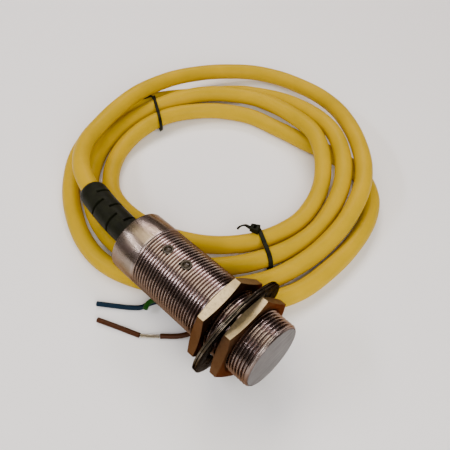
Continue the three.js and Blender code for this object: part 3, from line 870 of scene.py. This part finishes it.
def nut_mesh(front, turn):
    """A thin hexagon nut, chamfered and threaded, whose corners are turned from upright by turn."""
    back = front + NUT_THICKNESS
    corner = NUT_ACROSS_FLATS / math.sqrt(3)
    angles = [turn + step * math.pi / 3 for step in range(6)]
    hexagon = prism([(corner * math.sin(angle), corner * math.cos(angle)) for angle in angles], front, back)
    outer = corner + 1
    depth = (outer - NUT_CHAMFER_START) * math.tan(NUT_CHAMFER_ANGLE)
    chamfers = lathe([
        (front, 0), (front, NUT_CHAMFER_START), (front + depth, outer), (back - depth, outer),
        (back, NUT_CHAMFER_START), (back, 0)], segments=180)
    body = softened(combine(hexagon, ("INTERSECT", chamfers)), width=0.13, segments=2, angle=9)
    mouth = 16.0
    mouths = lathe([
        (front - 1, 0), (front - 1, mouth + 1), (front, mouth), (front + 1.1, THREAD_ROOT - 0.2),
        (back - 1.1, THREAD_ROOT - 0.2), (back, mouth), (back + 1, mouth + 1), (back + 1, 0)])
    thread = threaded_rod(front - 1, back + 1, THREAD_RADIUS + 0.16, THREAD_ROOT + 0.22)
    return combine(body, ("DIFFERENCE", mouths), ("DIFFERENCE", thread))


def washer_mesh(offset):
    """One toothed washer of the leaning pair. The offset is its middle, forwards of the pair's."""
    per_tooth = 24
    steps = per_tooth * WASHER_TOOTH_COUNT
    root = WASHER_BORE_RADIUS + WASHER_TOOTH_DEPTH
    half_ring = WASHER_THICKNESS / 2 - 0.03
    half_tooth = 0.26
    tooth_end, gap_start, gap_end = 0.5, 0.62, 0.88
    flank = 0.12
    section = [
        (0.0, 0.7), (0.04, 1.0), (0.3, 1.0), (0.6, 1.0), (0.955, 1.0), (0.988, 0.85), (1.0, 0.5),
        (1.0, -0.5), (0.988, -0.85), (0.955, -1.0), (0.6, -1.0), (0.3, -1.0), (0.04, -1.0), (0.0, -0.7),
    ]
    lean_side, lean_up = math.sin(WASHER_LEAN), math.cos(WASHER_LEAN)
    rings = []
    for step in range(steps):
        angle = 2 * math.pi * step / steps
        share = (step % per_tooth) / per_tooth
        if share <= tooth_end:
            inner = WASHER_BORE_RADIUS
        elif share < gap_start:
            inner = WASHER_BORE_RADIUS + WASHER_TOOTH_DEPTH * (share - tooth_end) / flank
        elif share <= gap_end:
            inner = root
        else:
            inner = root - WASHER_TOOTH_DEPTH * (share - gap_end) / flank
        lean = 4 * min(share, tooth_end) - 1 if share < gap_end else -1
        ring = []
        for along, height in section:
            radius = inner + (WASHER_RADIUS - inner) * along
            reach = min(1.0, max(0.0, (root + 0.4 - radius) / 1.2))
            half = half_ring + (half_tooth - half_ring) * reach
            twist = lean * reach * (half_ring - half_tooth)
            forward = offset + half * height + twist
            up = radius * math.sin(angle)
            ring.append((
                FACE_X - WASHER_PAIR_DISTANCE + forward * lean_up + up * lean_side,
                radius * math.cos(angle),
                WASHER_HEIGHT - forward * lean_side + up * lean_up))
        rings.append(ring)
    return skin(rings, closed=True)


NUTS = (("front", FRONT_NUT_FACE, FRONT_NUT_TURN), ("rear", REAR_NUT_FACE, REAR_NUT_TURN))
for name, front, turn in NUTS:
    look = nickel_look(
        f"{name}_nut_nickel", (1, 0.6, 0.6), (0.56, 0.455, 0.275), (0.42, 0.33, 0.17),
        speckle_scale=900, speckle_share=0.65, edge=(0.42, 0.29, 0.21), gloss=(0.40, 0.52), grain=0.3)
    new_object(
        f"{name}_lock_nut", nut_mesh(front, turn), look, f"{name}_nut", [f"{name}_nut"],
        sharp_degrees=11)

STEEL = steel_look()
half_pair = (WASHER_PAIR_GAP + WASHER_THICKNESS) / 2
for name, offset in (("front", half_pair), ("rear", -half_pair)):
    new_object(
        f"{name}_tooth_washer", washer_mesh(offset), STEEL,
        f"{name}_washer", [f"{name}_washer"])

# ---- Cable end of the barrel: end ring and slotted strain relief ----


def bend_rear(mesh):
    """Bends what was built straight behind the barrel, in place."""
    for vertex in mesh.vertices:
        x, y = bent(vertex.co.x / MM - FACE_X, vertex.co.y / MM)
        vertex.co.x, vertex.co.y = (FACE_X + x) * MM, y * MM
    return mesh


def slot_tool(distance, middle_angle):
    """Part of a ring that cuts one slot across one side of the straight sleeve."""
    inner, outer = RELIEF_RADIUS - RELIEF_SLOT_DEPTH, RELIEF_RADIUS + 1.5
    steps = 36
    spread = [
        middle_angle + RELIEF_SLOT_HALF_ANGLE * (2 * step / steps - 1) for step in range(steps + 1)]
    outline = [(outer * math.sin(angle), outer * math.cos(angle)) for angle in spread]
    outline += [(inner * math.sin(angle), inner * math.cos(angle)) for angle in reversed(spread)]
    return prism(outline, distance, distance + RELIEF_SLOT_WIDTH)


def relief_mesh():
    """Strain relief: a sleeve with a flange inside the barrel, a rounded tip and slots on both sides."""
    tip = BARREL_LENGTH + RELIEF_LENGTH
    root_bore = 4.4
    flange = 9.0
    dome = 4.2
    step_back = 0.7
    barrel_end = [
        (RELIEF_FLANGE_START, root_bore), (RELIEF_FLANGE_START, flange),
        (RELIEF_FLANGE_END, flange), (RELIEF_FLANGE_END, RELIEF_RADIUS),
    ]
    rings = int((tip - dome - RELIEF_FLANGE_END) / step_back)
    outside = [(RELIEF_FLANGE_END + step_back * step, RELIEF_RADIUS) for step in range(1, rings + 1)]
    rounding = []
    for angle in np.linspace(0, math.pi / 2, 13):
        rounding.append((
            tip - dome + dome * math.sin(angle),
            RELIEF_TIP_RADIUS + (RELIEF_RADIUS - RELIEF_TIP_RADIUS) * math.cos(angle)))
    bore = RELIEF_TIP_RADIUS - 0.45
    bore_end = tip - CABLE_INSIDE_RELIEF - 0.3
    inside = [(tip - step_back * step, bore) for step in range(int(CABLE_INSIDE_RELIEF / step_back) + 1)]
    sleeve = lathe([
        *barrel_end, *outside, *rounding, (tip + 0.12, RELIEF_TIP_RADIUS - 0.2), (tip, bore + 0.05),
        *inside, (bore_end, bore), (bore_end, root_bore)], segments=96)
    slots = []
    for index in range(RELIEF_SLOT_COUNT):
        distance = BARREL_LENGTH + RELIEF_FIRST_SLOT + index * RELIEF_SLOT_SPACING
        side = 1 if index % 2 else -1
        slots.append(("DIFFERENCE", slot_tool(distance, side * RELIEF_SLOT_SIDE)))
    return bend_rear(softened(combine(sleeve, *slots), width=0.12, segments=2, angle=50))


new_object(
    "bend_relief", relief_mesh(), relief_look(), "sensor", ["strain_relief"],
    sharp_degrees=50)

ring_mesh = lathe([
    (RING_STEP, RELIEF_RADIUS + 0.25), (RING_BACK - 0.3, RELIEF_RADIUS + 0.25),
    (RING_BACK, RELIEF_RADIUS + 0.55), (RING_BACK, RING_RADIUS - 0.4),
    (RING_BACK - 0.3, RING_RADIUS - 0.05), (RELIEF_FLANGE_START, RING_RADIUS),
    (RELIEF_FLANGE_START, 10.2), (RING_STEP, 10.2)])
new_object("end_ring", ring_mesh, LOOKS["black_plastic"], "sensor", ["rear_ring"])

# ---- Bare strands and ties ----


def joined(meshes):
    """One mesh out of several."""
    working = bmesh.new()
    for mesh in meshes:
        working.from_mesh(mesh)
    result = bpy.data.meshes.new("joined")
    working.to_mesh(result)
    working.free()
    return result


def strand_bundle(line, lay_length, strand_radius, circle_radius):
    """Twisted wire: one strand down the middle and the rest wound round it."""
    frames = carried_frames(line)
    along = distances_along(line)
    routes = [line]
    for strand in range(STRANDS_AROUND):
        route = []
        for index, centre in enumerate(line):
            turn = 2 * math.pi * (strand / STRANDS_AROUND + along[index] / lay_length)
            _, side, up = frames[index]
            route.append(centre + circle_radius * (side * math.cos(turn) + up * math.sin(turn)))
        routes.append(np.array(route))
    return joined([swept(route, lambda index, angle: strand_radius, sides=8) for route in routes])


strands_line = smooth_route(BROWN_STRANDS, spacing=0.4)
strands_mesh = strand_bundle(strands_line, lay_length=9, strand_radius=0.29, circle_radius=0.58)
strands = new_object(
    "brown_strands", strands_mesh, LOOKS["tinned"], "sensor", ["brown_lead_strands"])

TIE_GAP = 0.4
TIE_THICKNESS = 0.7
TIE_WIDTH = 2.2
TIE_SLACK = 1.1


class TiePlace:
    """Where a tie stands: its plane crosses two strands, and shift moves it along them."""

    def __init__(self, inner_turn, outer_turn, station, inner_shift, outer_shift):
        self.inner, self.height = COIL_TURNS[inner_turn][station]
        self.outer = COIL_TURNS[outer_turn][station][0]
        self.shifts = inner_shift, outer_shift
        turn = math.radians(COIL_START - station * STATION_TURN)
        self.outward = Vector((math.cos(turn), math.sin(turn), 0))
        self.across = Vector((math.sin(turn), -math.cos(turn), 0))

    def point(self, radius, height, side=0.0):
        """A point at a radius from the coil's centre; side is measured clockwise along the strands."""
        share = (radius - self.inner) / (self.outer - self.inner)
        shift = self.shifts[0] + (self.shifts[1] - self.shifts[0]) * share
        place = Vector((*COIL_CENTRE, 0)) + self.outward * radius + self.across * (side + shift)
        place.z = height
        return place


def tie_band(place):
    """A closed band round two neighbouring strands."""
    reach = CABLE_RADIUS + TIE_GAP
    loop = [(place.outer, math.pi * (step / 24 - 0.5)) for step in range(25)]
    loop += [(place.inner - TIE_SLACK, math.pi * (step / 24 + 0.5)) for step in range(25)]
    section = [(0.0, -1.0), (0.0, 1.0), (0.35, 1.0), (1.0, 0.8), (1.0, -0.8), (0.35, -1.0)]
    rings = []
    for radius, angle in loop:
        ring = []
        for depth, side in section:
            ray = reach + TIE_THICKNESS * depth
            height = place.height + ray * math.sin(angle)
            ring.append(tuple(place.point(radius + ray * math.cos(angle), height, side * TIE_WIDTH / 2)))
        rings.append(ring)
    return skin(rings, closed=True)


def strap(corners, widths, thickness, turns):
    """A flat strap along a route. Its width runs through the listed values and it twists by turns."""
    line = smooth_route(corners, spacing=0.4)
    tangents = np.gradient(line, axis=0)
    section = ((-0.5, -0.5), (-0.5, 0.3), (-0.4, 0.5), (0.4, 0.5), (0.5, 0.3), (0.5, -0.5))
    rings = []
    for index, centre in enumerate(line):
        share = index / (len(line) - 1)
        width = np.interp(share, np.linspace(0, 1, len(widths)), widths)
        ahead = Vector(tangents[index]).normalized()
        side = ahead.cross(Vector((0, 0, 1))).normalized()
        side.rotate(Matrix.Rotation(2 * math.pi * turns * share, 3, ahead))
        up = side.cross(ahead)
        rings.append([
            tuple(Vector(centre) + side * (across * width) + up * (rise * thickness))
            for across, rise in section])
    return skin(rings)


def tie_head(middle, ahead, size):
    """The tie's moulded head: a tapered block with the strap's slot through it."""
    ahead = ahead.normalized()
    side = ahead.cross(Vector((0, 0, 1))).normalized()
    up = side.cross(ahead)
    length, width, height = size

    def box(scale):
        points = []
        for along, taper in ((-0.5, 1.0), (0.5, 0.78)):
            for across, rise in ((-0.5, -0.5), (0.5, -0.5), (0.5, 0.5), (-0.5, 0.5)):
                lengthwise = ahead * (along * length * scale[0])
                sideways = side * (across * width * taper * scale[1])
                upwards = up * (rise * height * taper * scale[2])
                points.append(tuple(Vector(middle) + lengthwise + sideways + upwards))
        return mesh_from(points, [
            [0, 1, 2, 3], [4, 5, 6, 7], [0, 1, 5, 4], [1, 2, 6, 5], [2, 3, 7, 6], [3, 0, 4, 7]])

    body = softened(box((1, 1, 1)), width=0.3, segments=3, angle=30)
    return combine(body, ("DIFFERENCE", box((0.34, 0.62, 2))))


TIE_BLACK = relief_look()
upper_place = TiePlace(inner_turn=3, outer_turn=2, station=1, inner_shift=0.5, outer_shift=7.0)
lower_place = TiePlace(inner_turn=2, outer_turn=1, station=8, inner_shift=-2.8, outer_shift=-2.8)


def tie_piece(name, mesh, node):
    """Shows one tie, band and loose parts together."""
    return new_object(name, mesh, TIE_BLACK, "sensor", [node])


TIE_TOP = CABLE_RADIUS + TIE_GAP + TIE_THICKNESS
crest = upper_place.height + TIE_TOP - 0.3
upper_tail = strap(
    [
        tuple(upper_place.point(upper_place.outer - 1.0, crest)),
        tuple(upper_place.point(upper_place.outer + 2.2, crest + 0.1, -0.8)),
        tuple(upper_place.point(upper_place.outer + 3.6, crest + 0.7, -3.4)),
        tuple(upper_place.point(upper_place.outer + 3.3, crest + 1.6, -8.6)),
    ],
    widths=[1.3, 2.2, 2.5, 2.2, 1.5, 0.25], thickness=0.8, turns=0.35)
crest = lower_place.height + TIE_TOP - 0.3
head_middle = lower_place.point(lower_place.inner - 3.2, crest + 0.6, 2.2)
head_ahead = lower_place.across * 0.8 - lower_place.outward * 0.6
lower_head = tie_head(head_middle, head_ahead, size=(4.6, 4.2, 3.4))
lower_tail = strap(
    [
        tuple(lower_place.point(lower_place.inner - 4.2, crest + 0.6, 4.0)),
        tuple(lower_place.point(lower_place.inner - 6.0, crest + 1.3, 6.4)),
        tuple(lower_place.point(lower_place.inner - 6.4, crest + 0.7, 8.4)),
        tuple(lower_place.point(lower_place.inner - 5.2, crest + 0.9, 10.4)),
    ],
    widths=[1.9, 1.7, 1.5, 1.2], thickness=0.8, turns=0.25)
ties = [
    tie_piece("upper_tie_band", joined([tie_band(upper_place), upper_tail]), "upper_tie"),
    tie_piece("lower_tie_band", joined([tie_band(lower_place), lower_head, lower_tail]), "lower_tie"),
]

# ---- Floor, lights and surroundings ----

floor_mesh = bpy.data.meshes.new("floor")
floor_mesh.from_pydata([(-6, -6, 0), (6, -6, 0), (6, 6, 0), (-6, 6, 0)], [], [[0, 1, 2, 3]])
floor = placed("floor", floor_mesh)
floor_mesh.materials.append(Look("floor_paper", (0.96, 0.96, 0.955), 0.9).material)

world = bpy.data.worlds.new("studio")
bpy.context.scene.world = world
world.use_nodes = True
sky = world.node_tree
direction = sky.nodes.new("ShaderNodeSeparateXYZ")
sky.links.new(sky.nodes.new("ShaderNodeTexCoord").outputs["Generated"], direction.inputs["Vector"])
rise = sky.nodes.new("ShaderNodeMapRange")
rise.inputs["From Min"].default_value = 0.0
rise.inputs["From Max"].default_value = 0.9
sky.links.new(direction.outputs["Z"], rise.inputs["Value"])
tones = sky.nodes.new("ShaderNodeMix")
tones.data_type = "RGBA"
sky.links.new(rise.outputs["Result"], tones.inputs["Factor"])
low_tone, high_tone = (socket for socket in tones.inputs if socket.type == "RGBA")
low_tone.default_value = (0.16, 0.12, 0.10, 1)
high_tone.default_value = (0.30, 0.27, 0.25, 1)
sky.links.new(
    next(socket for socket in tones.outputs if socket.type == "RGBA"),
    sky.nodes["Background"].inputs["Color"])
sky.nodes["Background"].inputs["Strength"].default_value = 0.8

area_light("rear_strip", (-0.42, 0.54, 0.66), (0.44, 0.16), 3.4, (1, 0.88, 0.93))
area_light("overhead_box", (-0.32, 0.08, 0.70), (0.50, 0.34), 2.6, (1, 0.90, 0.74))
area_light("near_strip", (-0.44, -0.42, 0.60), (0.44, 0.08), 2.4, (0.94, 0.90, 1.0))
area_light("face_fill", (0.62, -0.30, 0.55), (0.7, 0.7), 10.0, (1, 0.97, 0.94))
